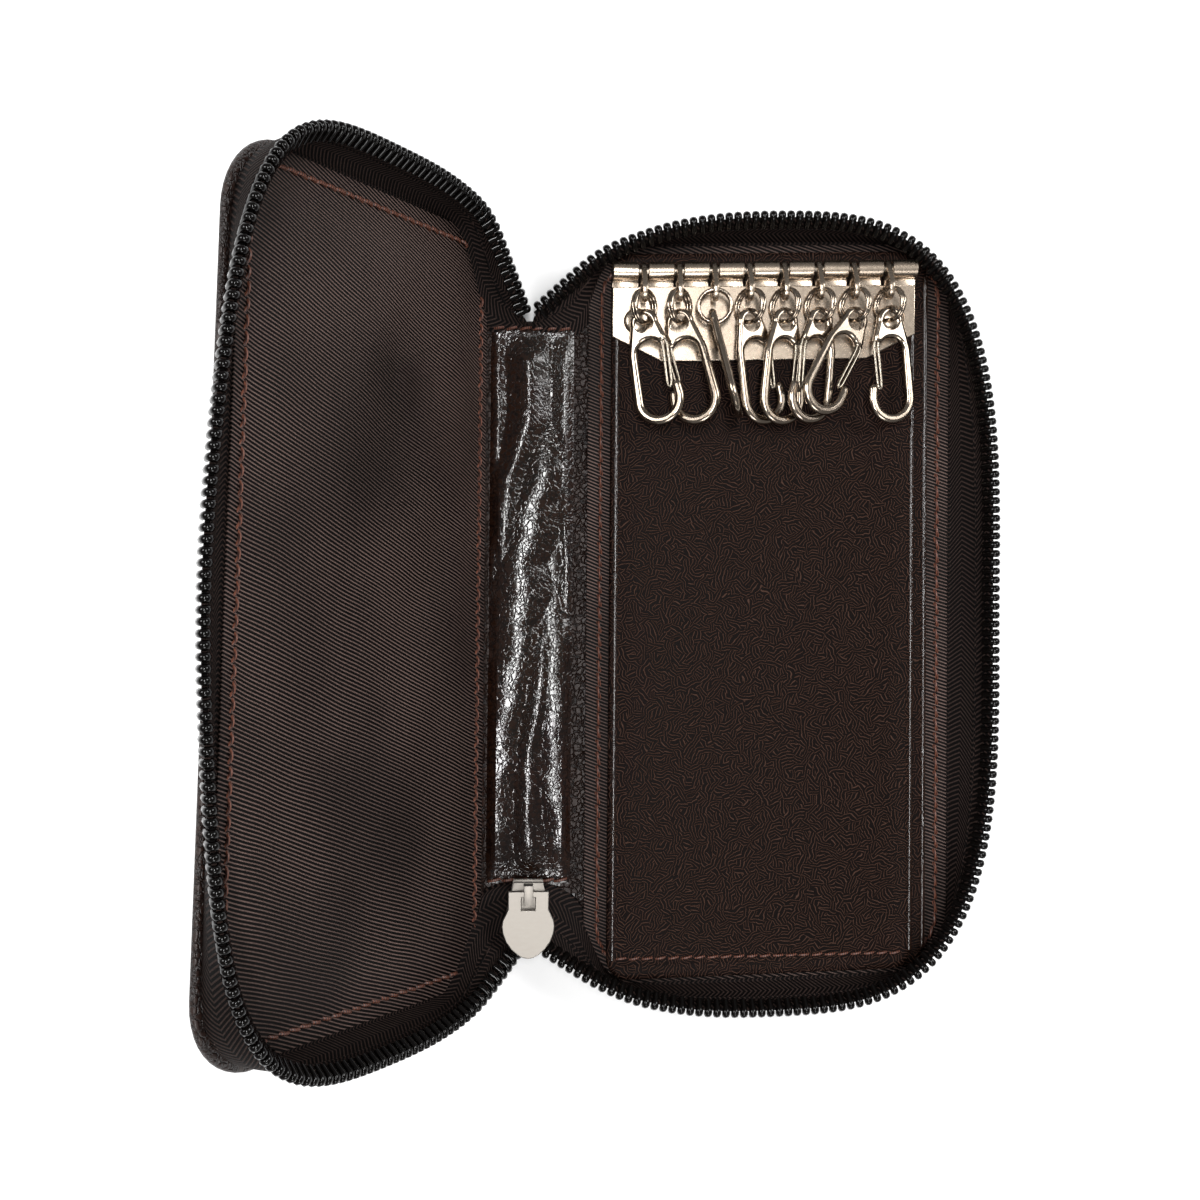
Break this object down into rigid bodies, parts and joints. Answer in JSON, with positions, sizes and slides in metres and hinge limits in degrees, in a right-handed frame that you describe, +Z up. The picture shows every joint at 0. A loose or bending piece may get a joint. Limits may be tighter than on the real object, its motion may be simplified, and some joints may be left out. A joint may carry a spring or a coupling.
{
  "type": "key case",
  "caption": "Zip-around leather key case lying open, with a hinged spine, twill lining, key panel and a row of snap hooks on a barrelled plate",
  "frame": {"origin": "centre of the back half's flat underside", "axes": "+Z up out of the table, +Y along the spine towards the key plate, -X towards the raised front half"},
  "size_m": [0.1175, 0.1276, 0.0611],
  "materials": {
    "cover_leather": "fine grain, satin",
    "stiffening_board": "plain pressed fibre",
    "twill_lining": "diagonal twill",
    "zip_tape": "woven herringbone tape",
    "zip_coil": "black nylon coil",
    "panel_leather": "embossed grain, matt",
    "spine_leather": "soft creased, glossy",
    "nickel_plate": "bright nickel plate",
    "rod_steel": "drawn wire",
    "satin_nickel": "satin nickel",
    "hook_nickel": "bright nickel plate",
    "gate_wire": "plated spring wire"
  },
  "bodies": {
    "back_half": {"back_cover": "cover_leather", "back_board": "stiffening_board", "back_lining": "twill_lining", "back_zip_tape": "zip_tape", "back_zip_teeth": "zip_coil", "pocket_panel": "panel_leather", "key_panel": "panel_leather", "key_plate": "nickel_plate", "key_rod": "rod_steel", "plate_rivets": "nickel_plate"},
    "spine": {"spine_cover": "cover_leather", "spine_lining": "spine_leather", "zip_end_tape_top": "zip_tape", "zip_end_tape_bottom": "zip_tape", "zip_end_teeth_top": "zip_coil", "zip_end_teeth_bottom": "zip_coil", "zip_slider": "satin_nickel"},
    "pull_tab": {"pull_tab": "satin_nickel"},
    "front_half": {"front_cover": "cover_leather", "front_board": "stiffening_board", "front_lining": "twill_lining", "front_zip_tape": "zip_tape", "front_zip_teeth": "zip_coil"},
    "link_1": {"key_link_1": "hook_nickel"},
    "ring_1": {"key_ring_1": "hook_nickel"},
    "hook_1": {"snap_hook_1": "hook_nickel"},
    "gate_1": {"hook_gate_1": "gate_wire"},
    "link_2": {"key_link_2": "hook_nickel"},
    "ring_2": {"key_ring_2": "hook_nickel"},
    "hook_2": {"snap_hook_2": "hook_nickel"},
    "gate_2": {"hook_gate_2": "gate_wire"},
    "link_3": {"key_link_3": "hook_nickel"},
    "ring_3": {"key_ring_3": "hook_nickel"},
    "hook_3": {"snap_hook_3": "hook_nickel"},
    "gate_3": {"hook_gate_3": "gate_wire"},
    "link_4": {"key_link_4": "hook_nickel"},
    "ring_4": {"key_ring_4": "hook_nickel"},
    "hook_4": {"snap_hook_4": "hook_nickel"},
    "gate_4": {"hook_gate_4": "gate_wire"},
    "link_5": {"key_link_5": "hook_nickel"},
    "ring_5": {"key_ring_5": "hook_nickel"},
    "hook_5": {"snap_hook_5": "hook_nickel"},
    "gate_5": {"hook_gate_5": "gate_wire"},
    "link_6": {"key_link_6": "hook_nickel"},
    "ring_6": {"key_ring_6": "hook_nickel"},
    "hook_6": {"snap_hook_6": "hook_nickel"},
    "gate_6": {"hook_gate_6": "gate_wire"},
    "link_7": {"key_link_7": "hook_nickel"},
    "ring_7": {"key_ring_7": "hook_nickel"},
    "hook_7": {"snap_hook_7": "hook_nickel"},
    "gate_7": {"hook_gate_7": "gate_wire"},
    "link_8": {"key_link_8": "hook_nickel"},
    "ring_8": {"key_ring_8": "hook_nickel"},
    "hook_8": {"snap_hook_8": "hook_nickel"},
    "gate_8": {"hook_gate_8": "gate_wire"}
  },
  "joints": [
    {"name": "spine_fold", "type": "hinge", "parent": "back_half", "child": "spine", "pos_m": [-0.03075, 0, 0.0012], "axis": [0, -1, 0], "range_deg": [-90, 0], "deforming": ["zip_end_tape_top", "zip_end_tape_bottom", "zip_end_teeth_top", "zip_end_teeth_bottom"]},
    {"name": "cover_fold", "type": "hinge", "parent": "spine", "child": "front_half", "pos_m": [-0.04595, 0, 0.0012], "axis": [0, -1, 0], "range_deg": [-34, 56], "deforming": ["zip_end_tape_top", "zip_end_tape_bottom", "zip_end_teeth_top", "zip_end_teeth_bottom"]},
    {"name": "tab_swing", "type": "hinge", "parent": "spine", "child": "pull_tab", "pos_m": [-0.03835, -0.04445, 0.008], "axis": [-1, 0, 0], "range_deg": [0, 150]},
    {"name": "link_swing_1", "type": "hinge", "parent": "back_half", "child": "link_1", "pos_m": [-0.021, 0.0542, 0.00565], "axis": [-1, 0, 0], "range_deg": [0, 80]},
    {"name": "ring_swing_1", "type": "hinge", "parent": "link_1", "child": "ring_1", "pos_m": [-0.021, 0.05076, 0.00748], "axis": [-1, 0, 0], "range_deg": [0, 25]},
    {"name": "hook_swing_1", "type": "hinge", "parent": "ring_1", "child": "hook_1", "pos_m": [-0.021, 0.04556, 0.00748], "axis": [-1, 0, 0], "range_deg": [0, 25]},
    {"name": "gate_open_1", "type": "hinge", "parent": "hook_1", "child": "gate_1", "pos_m": [-0.01755, 0.04266, 0.00874], "axis": [0.342, 0, -0.9397], "range_deg": [0, 17], "stiffness_Nm_per_rad": 0.0003, "springref_deg": -5.73},
    {"name": "link_swing_2", "type": "hinge", "parent": "back_half", "child": "link_2", "pos_m": [-0.0154, 0.0542, 0.00565], "axis": [-1, 0, 0], "range_deg": [0, 80]},
    {"name": "ring_swing_2", "type": "hinge", "parent": "link_2", "child": "ring_2", "pos_m": [-0.0154, 0.05076, 0.00748], "axis": [-1, 0, 0], "range_deg": [0, 25]},
    {"name": "hook_swing_2", "type": "hinge", "parent": "ring_2", "child": "hook_2", "pos_m": [-0.0154, 0.04556, 0.00748], "axis": [-1, 0, 0], "range_deg": [0, 25]},
    {"name": "gate_open_2", "type": "hinge", "parent": "hook_2", "child": "gate_2", "pos_m": [-0.01744, 0.04141, 0.00674], "axis": [-0.342, 0, 0.9397], "range_deg": [0, 17], "stiffness_Nm_per_rad": 0.0003, "springref_deg": -5.73},
    {"name": "link_swing_3", "type": "hinge", "parent": "back_half", "child": "link_3", "pos_m": [-0.0098, 0.0542, 0.00565], "axis": [-1, 0, 0], "range_deg": [0, 80]},
    {"name": "ring_swing_3", "type": "hinge", "parent": "link_3", "child": "ring_3", "pos_m": [-0.0098, 0.05076, 0.00748], "axis": [-1, 0, 0], "range_deg": [0, 25]},
    {"name": "hook_swing_3", "type": "hinge", "parent": "ring_3", "child": "hook_3", "pos_m": [-0.0098, 0.04556, 0.00748], "axis": [-1, 0, 0], "range_deg": [0, 25]},
    {"name": "gate_open_3", "type": "hinge", "parent": "hook_3", "child": "gate_3", "pos_m": [-0.00841, 0.04152, 0.00557], "axis": [-0.9539, -0.2487, -0.1677], "range_deg": [0, 17], "stiffness_Nm_per_rad": 0.0003, "springref_deg": -5.73},
    {"name": "link_swing_4", "type": "hinge", "parent": "back_half", "child": "link_4", "pos_m": [-0.0042, 0.0542, 0.00565], "axis": [-1, 0, 0], "range_deg": [0, 80]},
    {"name": "ring_swing_4", "type": "hinge", "parent": "link_4", "child": "ring_4", "pos_m": [-0.0042, 0.05076, 0.00748], "axis": [-1, 0, 0], "range_deg": [0, 25]},
    {"name": "hook_swing_4", "type": "hinge", "parent": "ring_4", "child": "hook_4", "pos_m": [-0.0042, 0.04556, 0.00748], "axis": [-1, 0, 0], "range_deg": [0, 25]},
    {"name": "gate_open_4", "type": "hinge", "parent": "hook_4", "child": "gate_4", "pos_m": [-0.00075, 0.04266, 0.00623], "axis": [-0.342, 0, -0.9397], "range_deg": [0, 17], "stiffness_Nm_per_rad": 0.0003, "springref_deg": -5.73},
    {"name": "link_swing_5", "type": "hinge", "parent": "back_half", "child": "link_5", "pos_m": [0.0014, 0.0542, 0.00565], "axis": [-1, 0, 0], "range_deg": [0, 80]},
    {"name": "ring_swing_5", "type": "hinge", "parent": "link_5", "child": "ring_5", "pos_m": [0.0014, 0.05076, 0.00748], "axis": [-1, 0, 0], "range_deg": [0, 25]},
    {"name": "hook_swing_5", "type": "hinge", "parent": "ring_5", "child": "hook_5", "pos_m": [0.0014, 0.04556, 0.00748], "axis": [-1, 0, 0], "range_deg": [0, 25]},
    {"name": "gate_open_5", "type": "hinge", "parent": "hook_5", "child": "gate_5", "pos_m": [0.00409, 0.04185, 0.0065], "axis": [-0.342, 0, -0.9397], "range_deg": [0, 17], "stiffness_Nm_per_rad": 0.0003, "springref_deg": -5.73},
    {"name": "link_swing_6", "type": "hinge", "parent": "back_half", "child": "link_6", "pos_m": [0.007, 0.0542, 0.00565], "axis": [-1, 0, 0], "range_deg": [0, 80]},
    {"name": "ring_swing_6", "type": "hinge", "parent": "link_6", "child": "ring_6", "pos_m": [0.007, 0.05076, 0.00748], "axis": [-1, 0, 0], "range_deg": [0, 25]},
    {"name": "hook_swing_6", "type": "hinge", "parent": "ring_6", "child": "hook_6", "pos_m": [0.007, 0.04556, 0.00748], "axis": [-1, 0, 0], "range_deg": [0, 25]},
    {"name": "gate_open_6", "type": "hinge", "parent": "hook_6", "child": "gate_6", "pos_m": [0.00375, 0.04241, 0.00866], "axis": [0.342, 0, 0.9397], "range_deg": [0, 17], "stiffness_Nm_per_rad": 0.0003, "springref_deg": -5.73},
    {"name": "link_swing_7", "type": "hinge", "parent": "back_half", "child": "link_7", "pos_m": [0.0126, 0.0542, 0.00565], "axis": [-1, 0, 0], "range_deg": [0, 80]},
    {"name": "ring_swing_7", "type": "hinge", "parent": "link_7", "child": "ring_7", "pos_m": [0.0126, 0.05076, 0.00748], "axis": [-1, 0, 0], "range_deg": [0, 25]},
    {"name": "hook_swing_7", "type": "hinge", "parent": "ring_7", "child": "hook_7", "pos_m": [0.0126, 0.04556, 0.00748], "axis": [-1, 0, 0], "range_deg": [0, 25]},
    {"name": "gate_open_7", "type": "hinge", "parent": "hook_7", "child": "gate_7", "pos_m": [0.01364, 0.04101, 0.0071], "axis": [-0.342, 0, -0.9397], "range_deg": [0, 17], "stiffness_Nm_per_rad": 0.0003, "springref_deg": -5.73},
    {"name": "link_swing_8", "type": "hinge", "parent": "back_half", "child": "link_8", "pos_m": [0.0182, 0.0542, 0.00565], "axis": [-1, 0, 0], "range_deg": [0, 80]},
    {"name": "ring_swing_8", "type": "hinge", "parent": "link_8", "child": "ring_8", "pos_m": [0.0182, 0.05076, 0.00748], "axis": [-1, 0, 0], "range_deg": [0, 25]},
    {"name": "hook_swing_8", "type": "hinge", "parent": "ring_8", "child": "hook_8", "pos_m": [0.0182, 0.04556, 0.00748], "axis": [-1, 0, 0], "range_deg": [0, 25]},
    {"name": "gate_open_8", "type": "hinge", "parent": "hook_8", "child": "gate_8", "pos_m": [0.01543, 0.04185, 0.00817], "axis": [0.2419, 0, 0.9703], "range_deg": [0, 17], "stiffness_Nm_per_rad": 0.0003, "springref_deg": -5.73}
  ],
  "couplings": [
    {"joint": "link_swing_2", "follows": "link_swing_1", "ratio": 1},
    {"joint": "ring_swing_2", "follows": "ring_swing_1", "ratio": 1},
    {"joint": "hook_swing_2", "follows": "hook_swing_1", "ratio": 1},
    {"joint": "link_swing_5", "follows": "link_swing_4", "ratio": 1},
    {"joint": "ring_swing_5", "follows": "ring_swing_4", "ratio": 1},
    {"joint": "hook_swing_5", "follows": "hook_swing_4", "ratio": 1},
    {"joint": "link_swing_6", "follows": "link_swing_4", "ratio": 1},
    {"joint": "ring_swing_6", "follows": "ring_swing_4", "ratio": 1},
    {"joint": "hook_swing_6", "follows": "hook_swing_4", "ratio": 1},
    {"joint": "link_swing_7", "follows": "link_swing_4", "ratio": 1},
    {"joint": "ring_swing_7", "follows": "ring_swing_4", "ratio": 1},
    {"joint": "hook_swing_7", "follows": "hook_swing_4", "ratio": 1}
  ]
}
